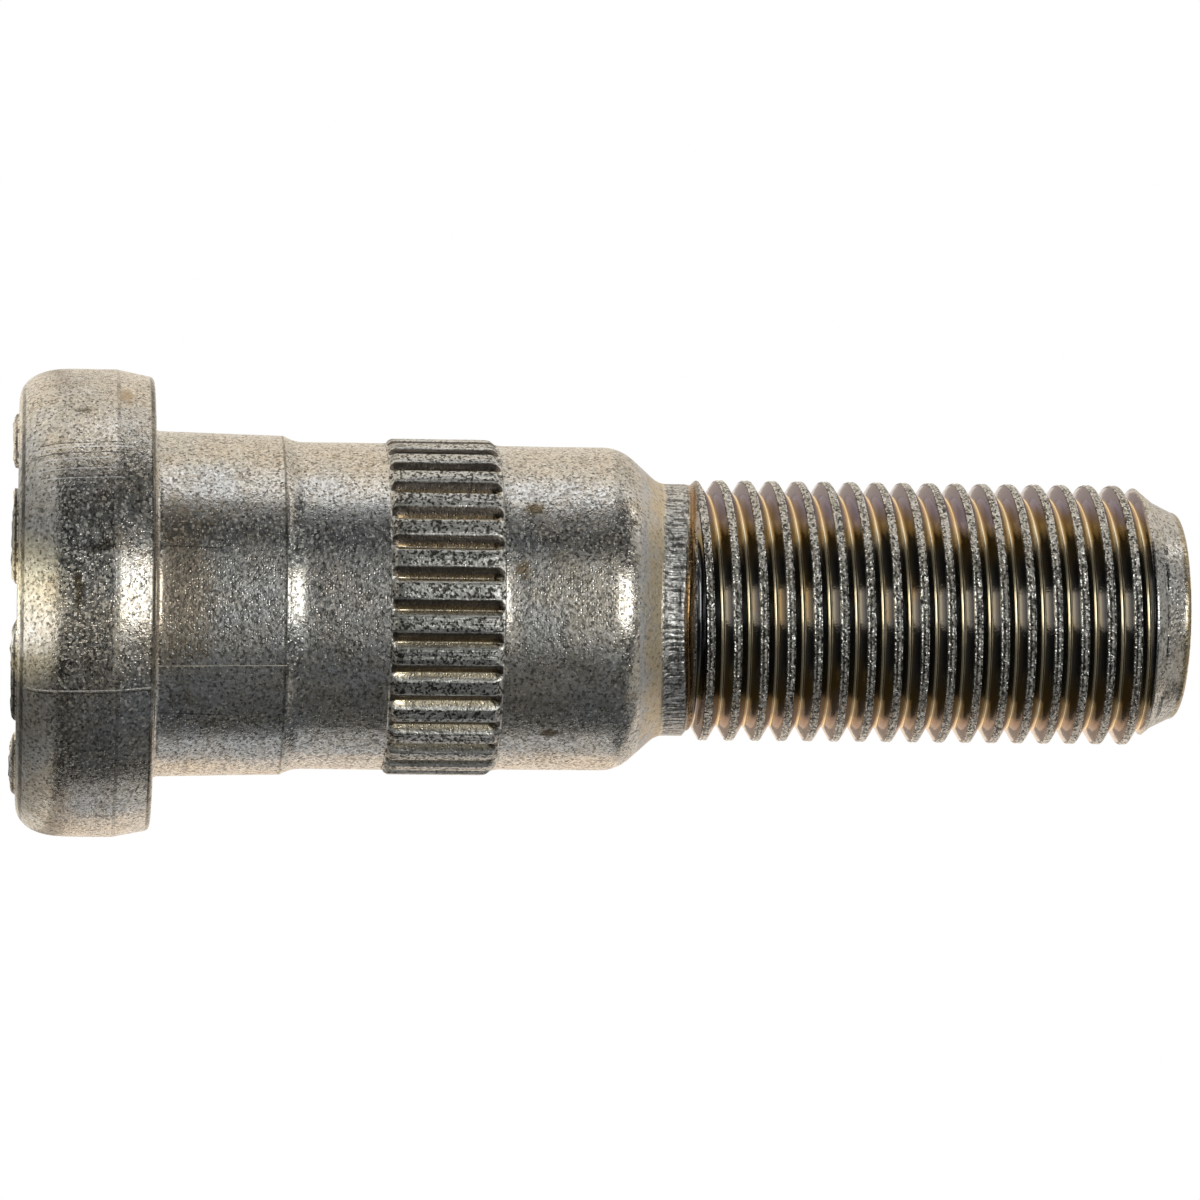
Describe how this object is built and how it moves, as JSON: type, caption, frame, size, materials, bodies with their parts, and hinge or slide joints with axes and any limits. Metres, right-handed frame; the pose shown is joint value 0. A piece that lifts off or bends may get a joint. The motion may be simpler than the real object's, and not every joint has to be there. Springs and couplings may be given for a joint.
{
  "type": "wheel stud",
  "caption": "Press-in wheel stud with a round head, stepped shank, knurled press seat, necked taper and a threaded end with a lead.",
  "frame": {"origin": "centre of the head's base, on the plane of the raised pads' tops", "axes": "+Z along the stud's axis, from the head to the threaded tip; the stud stands on its head"},
  "size_m": [0.0222, 0.0222, 0.056],
  "materials": {
    "plated_steel": "dull zinc plate with a faint yellow chromate tint, speckled and stained"
  },
  "bodies": {
    "root": {"wheel_stud": "plated_steel"}
  },
  "joints": []
}
